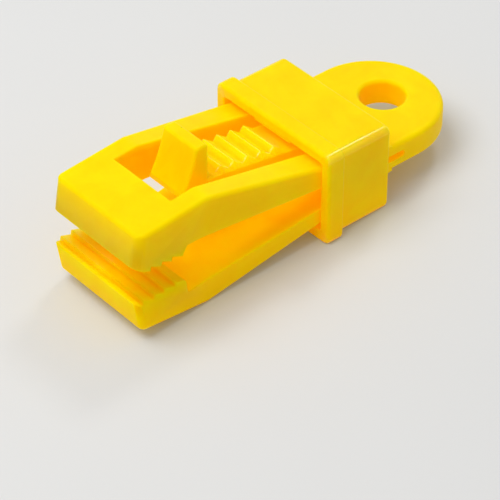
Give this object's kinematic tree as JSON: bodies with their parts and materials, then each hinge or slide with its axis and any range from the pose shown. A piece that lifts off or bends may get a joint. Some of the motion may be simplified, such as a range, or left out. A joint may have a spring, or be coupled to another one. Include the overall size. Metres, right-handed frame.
{
  "type": "tarp clip",
  "caption": "Yellow plastic tarp clip with wedge-shaped toothed jaws, an eye for a cord, a sliding locking collar and a sprung ratchet tongue with a thumb tab.",
  "frame": {"origin": "centre of the eye's bore, halfway through the tail's thickness", "axes": "+X from the jaws to the eye, +Z along the bore towards the thumb tab's side, +Y across the clip"},
  "size_m": [0.09, 0.0356, 0.0317],
  "materials": {
    "body_plastic": "injection moulded yellow plastic, slightly translucent, satin gloss",
    "collar_plastic": "injection moulded yellow plastic, slightly translucent, satin gloss"
  },
  "bodies": {
    "tail": {"eye_tail": "body_plastic"},
    "upper": {"upper_arm": "body_plastic", "upper_jaw": "body_plastic"},
    "lower": {"lower_arm": "body_plastic", "lower_jaw": "body_plastic"},
    "tongue": {"ratchet_tongue": "body_plastic", "thumb_tab": "body_plastic"},
    "collar": {"collar_sleeve": "collar_plastic", "collar_flange": "collar_plastic", "collar_catch": "collar_plastic"}
  },
  "joints": [
    {"name": "collar_slide", "type": "slide", "parent": "tail", "child": "collar", "axis": [-1, 0, 0], "range_m": [0, 0.01145]},
    {"name": "upper_squeeze", "type": "hinge", "parent": "tail", "child": "upper", "pos_m": [-0.0159, 0, 0.00261], "axis": [0, -1, 0], "range_deg": [0, 3.6], "stiffness_Nm_per_rad": 0.4},
    {"name": "lower_squeeze", "type": "hinge", "parent": "tail", "child": "lower", "pos_m": [-0.0159, 0, -0.00261], "axis": [0, 1, 0], "range_deg": [0, 3.6], "stiffness_Nm_per_rad": 0.4},
    {"name": "tongue_press", "type": "hinge", "parent": "upper", "child": "tongue", "pos_m": [-0.0239, 0, 0.00425], "axis": [0, -1, 0], "range_deg": [0, 8], "stiffness_Nm_per_rad": 0.2}
  ],
  "couplings": [
    {"joint": "upper_squeeze", "follows": "collar_slide", "rad_per_m": 5.4585},
    {"joint": "lower_squeeze", "follows": "collar_slide", "rad_per_m": 5.4585}
  ]
}
